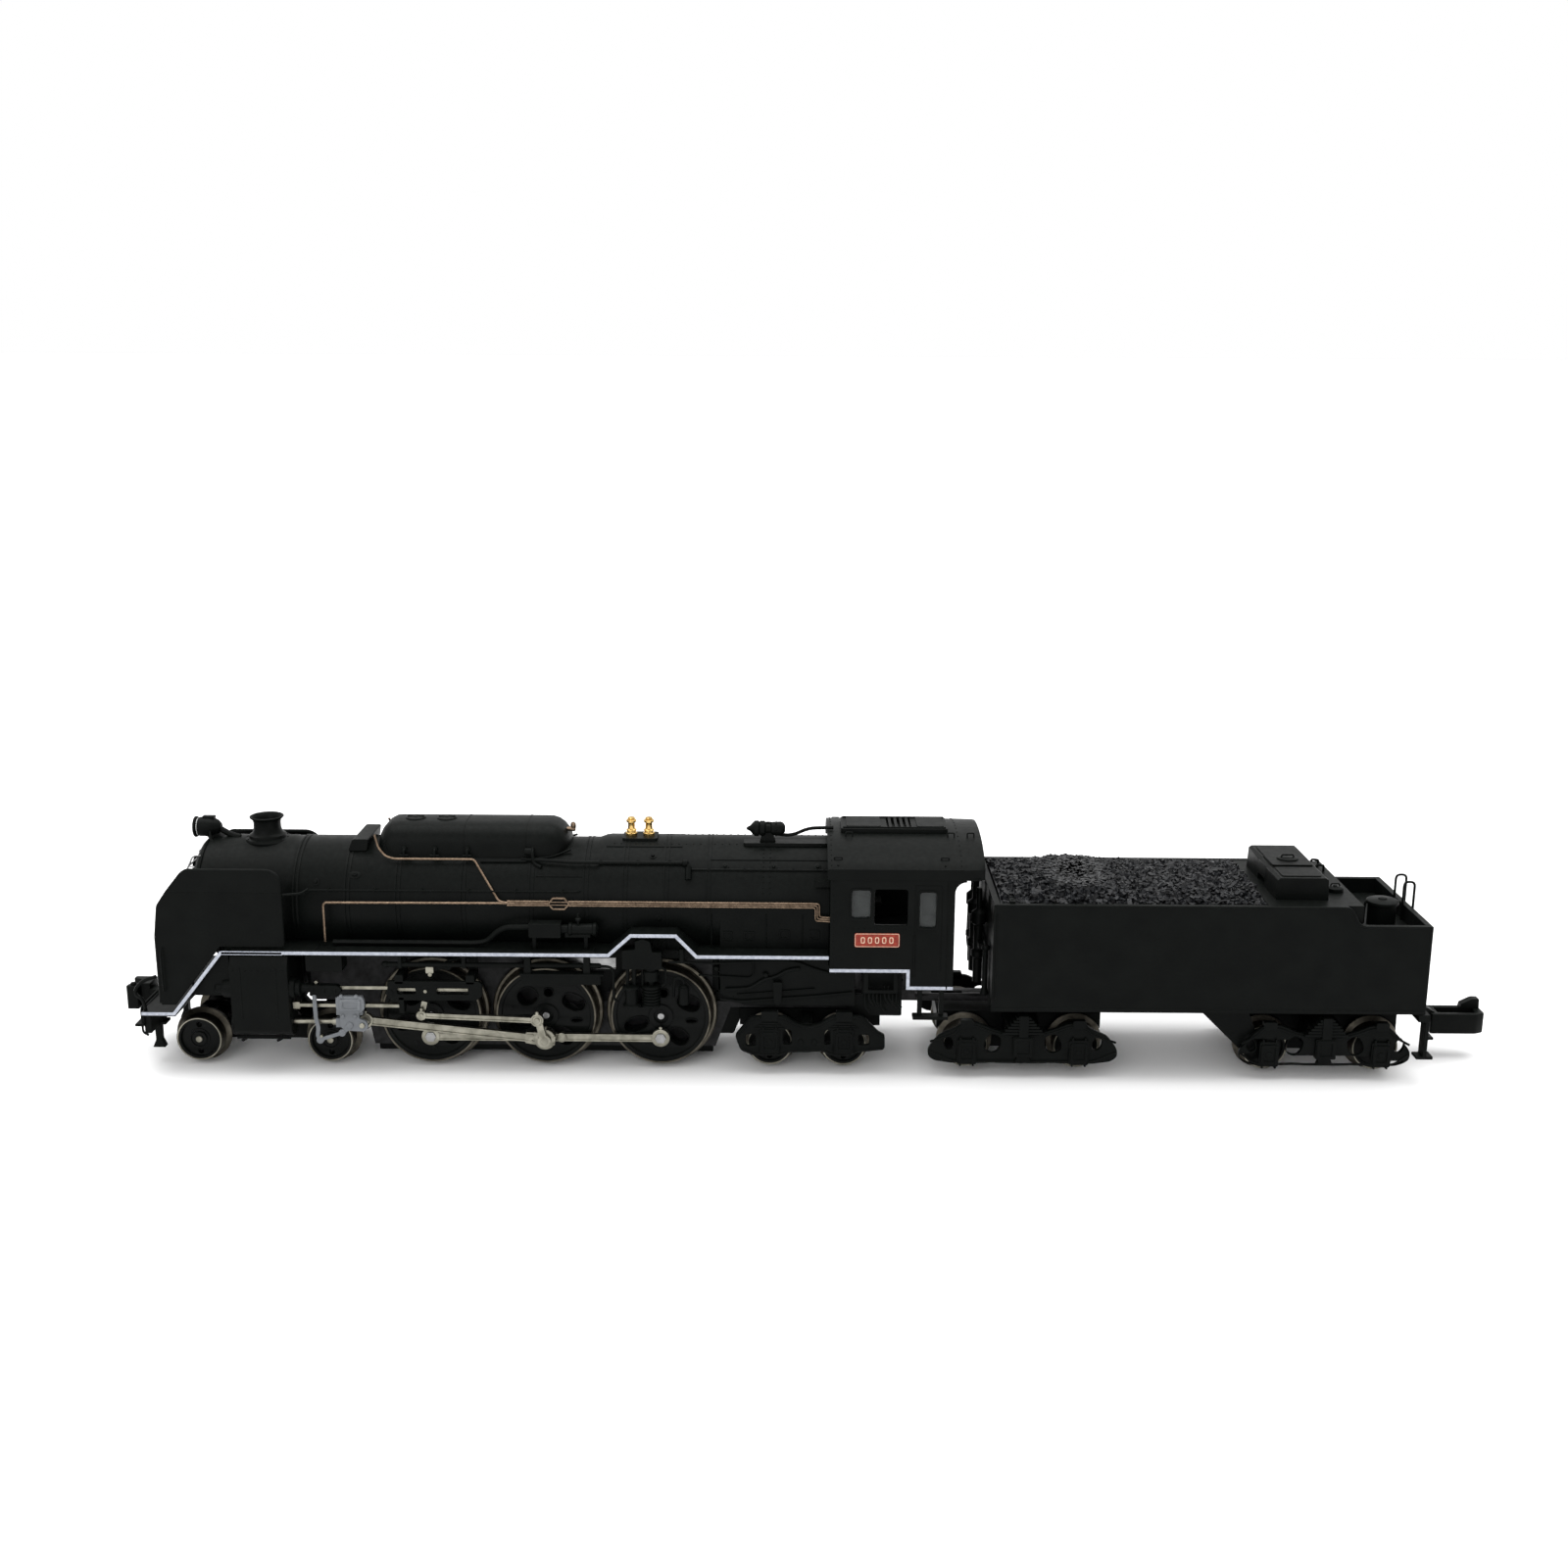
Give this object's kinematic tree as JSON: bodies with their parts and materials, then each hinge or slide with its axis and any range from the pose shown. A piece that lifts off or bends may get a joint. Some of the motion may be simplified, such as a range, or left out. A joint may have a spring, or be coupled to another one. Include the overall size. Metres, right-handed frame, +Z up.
{
  "type": "model train",
  "caption": "Small black model steam locomotive with smoke deflectors, six coupled driving wheels, working side rods and a separate coal tender with swivelling trucks.",
  "frame": {"origin": "centre of the bounding box on the plane the wheel flanges stand on", "axes": "+X from the engine's front toward the tender's rear coupler, +Y to the engine's right-hand side, +Z up"},
  "size_m": [0.1508, 0.0186, 0.027],
  "materials": {
    "black_plastic": "satin black moulded plastic",
    "black_wheel": "black moulded wheel centre in a plated tyre",
    "grey_plastic": "satin grey moulded plastic",
    "clear_plastic": "clear smoky glazing",
    "nickel": "nickel plated",
    "aged_brass": "dull aged brass paint",
    "zinc": "die-cast zinc weight",
    "steel": "turned steel",
    "red_plate": "red enamel with a gilt border",
    "coal": "moulded coal load, glittering facets"
  },
  "bodies": {
    "engine": {"chassis": "zinc", "keeper_plate": "black_plastic", "motor_can": "steel", "boiler_shell": "black_plastic", "smokebox_door": "black_plastic", "chimney": "black_plastic", "dome_casing": "black_plastic", "headlight": "black_plastic", "safety_valves": "aged_brass", "generator": "black_plastic", "front_deck": "black_plastic", "cab_shell": "black_plastic", "cab_roof": "black_plastic", "cab_glazing": "clear_plastic", "cylinder_block": "black_plastic", "number_plate_left": "red_plate", "number_plate_right": "red_plate", "smoke_deflector_left": "black_plastic", "smoke_deflector_right": "black_plastic", "running_board_left": "black_plastic", "running_board_right": "black_plastic", "brass_pipes_left": "aged_brass", "brass_pipes_right": "aged_brass", "slide_bar_left": "nickel", "slide_bar_right": "nickel", "motion_bracket_left": "black_plastic", "motion_bracket_right": "black_plastic"},
    "motor_rotor": {"motor_rotor": "steel"},
    "driver_1": {"driver_wheels_1": "black_wheel"},
    "driver_2": {"driver_wheels_2": "black_wheel"},
    "driver_3": {"driver_wheels_3": "black_wheel"},
    "coupling_rod_left": {"coupling_rod_left": "nickel"},
    "main_rod_left": {"main_rod_left": "nickel"},
    "eccentric_rod_left": {"eccentric_rod_left": "nickel"},
    "crosshead_left": {"crosshead_left": "grey_plastic"},
    "expansion_link_left": {"expansion_link_left": "black_plastic"},
    "coupling_rod_right": {"coupling_rod_right": "nickel"},
    "main_rod_right": {"main_rod_right": "nickel"},
    "eccentric_rod_right": {"eccentric_rod_right": "nickel"},
    "crosshead_right": {"crosshead_right": "grey_plastic"},
    "expansion_link_right": {"expansion_link_right": "black_plastic"},
    "lead_truck": {"lead_truck_frame": "black_plastic"},
    "lead_wheels_1": {"lead_wheels_1": "nickel"},
    "lead_wheels_2": {"lead_wheels_2": "nickel"},
    "trailing_truck": {"trailing_truck_frame": "black_plastic"},
    "trailing_wheels_1": {"trailing_wheels_1": "nickel"},
    "trailing_wheels_2": {"trailing_wheels_2": "nickel"},
    "drawbar": {"drawbar": "steel"},
    "tender": {"tender_shell": "black_plastic", "coal_load": "coal", "tender_weight": "zinc", "tender_underframe": "black_plastic"},
    "tender_front_truck": {"tender_front_truck_frame": "black_plastic"},
    "tender_wheels_1": {"tender_wheels_1": "nickel"},
    "tender_wheels_2": {"tender_wheels_2": "nickel"},
    "tender_rear_truck": {"tender_rear_truck_frame": "black_plastic"},
    "tender_wheels_3": {"tender_wheels_3": "nickel"},
    "tender_wheels_4": {"tender_wheels_4": "nickel"},
    "rear_coupler": {"rear_coupler": "black_plastic"}
  },
  "joints": [
    {"name": "driver_spin", "type": "hinge", "parent": "engine", "child": "driver_2", "pos_m": [-0.02817, 0, 0.00607], "axis": [0, 1, 0], "continuous": true},
    {"name": "driver_front_spin", "type": "hinge", "parent": "engine", "child": "driver_1", "pos_m": [-0.04065, 0, 0.00607], "axis": [0, 1, 0], "continuous": true},
    {"name": "driver_rear_spin", "type": "hinge", "parent": "engine", "child": "driver_3", "pos_m": [-0.01569, 0, 0.00607], "axis": [0, 1, 0], "continuous": true},
    {"name": "motor_spin", "type": "hinge", "parent": "engine", "child": "motor_rotor", "pos_m": [-0.02, 0, 0.01128], "axis": [1, 0, 0], "continuous": true},
    {"name": "coupling_rod_left_pin", "type": "hinge", "parent": "driver_2", "child": "coupling_rod_left", "pos_m": [-0.02817, -0.00655, 0.00387], "axis": [0, 1, 0], "continuous": true},
    {"name": "main_rod_left_pin", "type": "hinge", "parent": "driver_2", "child": "main_rod_left", "pos_m": [-0.02817, -0.0072, 0.00387], "axis": [0, 1, 0], "continuous": true},
    {"name": "eccentric_rod_left_pin", "type": "hinge", "parent": "driver_2", "child": "eccentric_rod_left", "pos_m": [-0.0288, -0.0083, 0.00645], "axis": [0, 1, 0], "continuous": true},
    {"name": "crosshead_left_slide", "type": "slide", "parent": "engine", "child": "crosshead_left", "axis": [1, 0, 0], "range_m": [-0.00231, 0.00209]},
    {"name": "expansion_link_left_swing", "type": "hinge", "parent": "engine", "child": "expansion_link_left", "pos_m": [-0.04057, -0.0078, 0.00985], "axis": [0, 1, 0], "range_deg": [-32.5, 7.5]},
    {"name": "coupling_rod_right_pin", "type": "hinge", "parent": "driver_2", "child": "coupling_rod_right", "pos_m": [-0.03037, 0.00655, 0.00607], "axis": [0, 1, 0], "continuous": true},
    {"name": "main_rod_right_pin", "type": "hinge", "parent": "driver_2", "child": "main_rod_right", "pos_m": [-0.03037, 0.0072, 0.00607], "axis": [0, 1, 0], "continuous": true},
    {"name": "eccentric_rod_right_pin", "type": "hinge", "parent": "driver_2", "child": "eccentric_rod_right", "pos_m": [-0.02779, 0.0083, 0.00671], "axis": [0, 1, 0], "continuous": true},
    {"name": "crosshead_right_slide", "type": "slide", "parent": "engine", "child": "crosshead_right", "axis": [1, 0, 0], "range_m": [0, 0.0044]},
    {"name": "expansion_link_right_swing", "type": "hinge", "parent": "engine", "child": "expansion_link_right", "pos_m": [-0.04057, 0.0078, 0.00985], "axis": [0, 1, 0], "range_deg": [-12.6, 27.4]},
    {"name": "lead_truck_swivel", "type": "hinge", "parent": "engine", "child": "lead_truck", "pos_m": [-0.05901, 0, 0.007], "axis": [0, 0, 1], "range_deg": [-6, 6]},
    {"name": "lead_wheels_1_spin", "type": "hinge", "parent": "lead_truck", "child": "lead_wheels_1", "pos_m": [-0.06619, 0, 0.00305], "axis": [0, 1, 0], "continuous": true},
    {"name": "lead_wheels_2_spin", "type": "hinge", "parent": "lead_truck", "child": "lead_wheels_2", "pos_m": [-0.05183, 0, 0.00305], "axis": [0, 1, 0], "continuous": true},
    {"name": "trailing_truck_swivel", "type": "hinge", "parent": "engine", "child": "trailing_truck", "pos_m": [0.00015, 0, 0.0068], "axis": [0, 0, 1], "range_deg": [-5, 5]},
    {"name": "trailing_wheels_1_spin", "type": "hinge", "parent": "trailing_truck", "child": "trailing_wheels_1", "pos_m": [-0.00385, 0, 0.00305], "axis": [0, 1, 0], "continuous": true},
    {"name": "trailing_wheels_2_spin", "type": "hinge", "parent": "trailing_truck", "child": "trailing_wheels_2", "pos_m": [0.00416, 0, 0.00305], "axis": [0, 1, 0], "continuous": true},
    {"name": "drawbar_engine_pivot", "type": "hinge", "parent": "engine", "child": "drawbar", "pos_m": [0.01, 0, 0.00745], "axis": [0, 0, 1], "range_deg": [-8, 8]},
    {"name": "drawbar_tender_pivot", "type": "hinge", "parent": "drawbar", "child": "tender", "pos_m": [0.0215, 0, 0.00745], "axis": [0, 0, 1], "range_deg": [-10, 10]},
    {"name": "tender_front_truck_swivel", "type": "hinge", "parent": "tender", "child": "tender_front_truck", "pos_m": [0.02343, 0, 0.0074], "axis": [0, 0, 1], "range_deg": [-5, 5]},
    {"name": "tender_wheels_1_spin", "type": "hinge", "parent": "tender_front_truck", "child": "tender_wheels_1", "pos_m": [0.0174, 0, 0.00305], "axis": [0, 1, 0], "continuous": true},
    {"name": "tender_wheels_2_spin", "type": "hinge", "parent": "tender_front_truck", "child": "tender_wheels_2", "pos_m": [0.02945, 0, 0.00305], "axis": [0, 1, 0], "continuous": true},
    {"name": "tender_rear_truck_swivel", "type": "hinge", "parent": "tender", "child": "tender_rear_truck", "pos_m": [0.0559, 0, 0.0074], "axis": [0, 0, 1], "range_deg": [-5, 5]},
    {"name": "tender_wheels_3_spin", "type": "hinge", "parent": "tender_rear_truck", "child": "tender_wheels_3", "pos_m": [0.0499, 0, 0.00305], "axis": [0, 1, 0], "continuous": true},
    {"name": "tender_wheels_4_spin", "type": "hinge", "parent": "tender_rear_truck", "child": "tender_wheels_4", "pos_m": [0.0619, 0, 0.00305], "axis": [0, 1, 0], "continuous": true},
    {"name": "rear_coupler_swing", "type": "hinge", "parent": "tender", "child": "rear_coupler", "pos_m": [0.0636, 0, 0.00645], "axis": [0, 0, 1], "range_deg": [-15, 15]}
  ],
  "couplings": [
    {"joint": "driver_front_spin", "follows": "driver_spin", "ratio": 1},
    {"joint": "driver_rear_spin", "follows": "driver_spin", "ratio": 1},
    {"joint": "motor_spin", "follows": "driver_spin", "ratio": 26},
    {"joint": "coupling_rod_left_pin", "follows": "driver_spin", "ratio": -1},
    {"joint": "main_rod_left_pin", "follows": "driver_spin", "ratio": -1},
    {"joint": "eccentric_rod_left_pin", "follows": "driver_spin", "ratio": -1},
    {"joint": "coupling_rod_right_pin", "follows": "driver_spin", "ratio": -1},
    {"joint": "main_rod_right_pin", "follows": "driver_spin", "ratio": -1},
    {"joint": "eccentric_rod_right_pin", "follows": "driver_spin", "ratio": -1}
  ]
}
